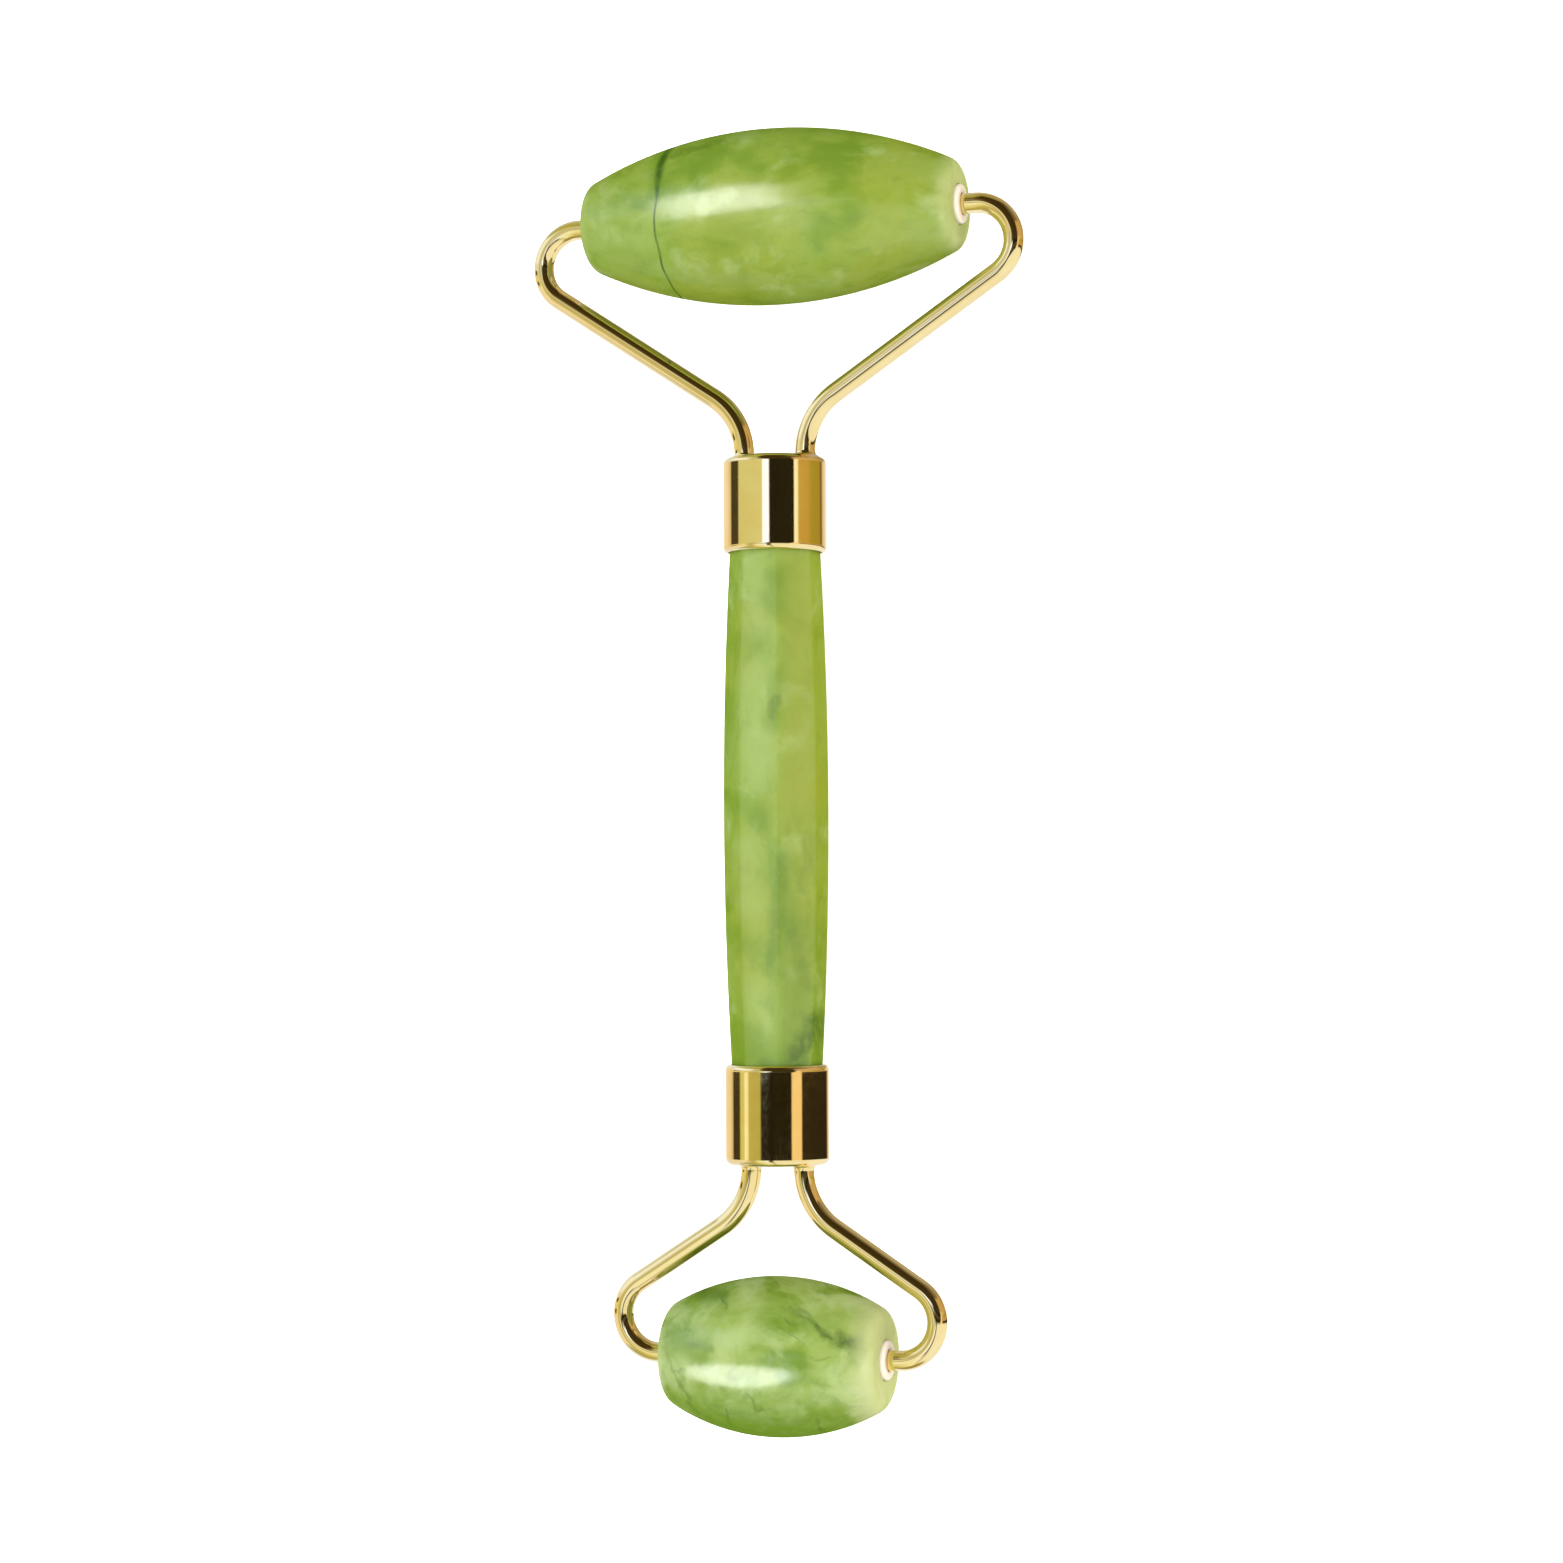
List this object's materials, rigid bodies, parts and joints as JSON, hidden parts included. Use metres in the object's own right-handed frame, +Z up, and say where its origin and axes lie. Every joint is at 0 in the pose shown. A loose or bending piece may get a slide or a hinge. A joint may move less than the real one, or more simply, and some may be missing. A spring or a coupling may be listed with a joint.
{
  "type": "facial massage roller",
  "caption": "Double-ended face roller lying flat: faceted stone handle, wire fork at each end, a large barrel stone on one and a small one on the other.",
  "frame": {"origin": "under the middle of the whole length, on the surface that the large stone rests on", "axes": "+Y along the handle towards the large roller, +X along the roller axes, +Z up, away from the surface the tool lies on"},
  "size_m": [0.0576, 0.1448, 0.0195],
  "materials": {
    "jade": "polished",
    "gold_plate": "mirror polished",
    "nylon": "satin",
    "glue": "gloss"
  },
  "bodies": {
    "frame": {"handle": "jade", "upper_ferrule": "gold_plate", "upper_glue": "glue", "upper_left_arm": "gold_plate", "upper_right_arm": "gold_plate", "upper_left_braze": "gold_plate", "upper_right_braze": "gold_plate", "lower_ferrule": "gold_plate", "lower_glue": "glue", "lower_left_arm": "gold_plate", "lower_right_arm": "gold_plate", "lower_left_braze": "gold_plate", "lower_right_braze": "gold_plate"},
    "large_roller": {"large_roller_stone": "jade", "large_roller_left_bush": "nylon", "large_roller_right_bush": "nylon"},
    "small_roller": {"small_roller_stone": "jade", "small_roller_left_bush": "nylon", "small_roller_right_bush": "nylon"}
  },
  "joints": [
    {"name": "large_roller_spin", "type": "hinge", "parent": "frame", "child": "large_roller", "pos_m": [0, 0.06263, 0.00978], "axis": [1, 0, 0], "continuous": true},
    {"name": "small_roller_spin", "type": "hinge", "parent": "frame", "child": "small_roller", "pos_m": [0, -0.06358, 0.00978], "axis": [1, 0, 0], "continuous": true}
  ]
}
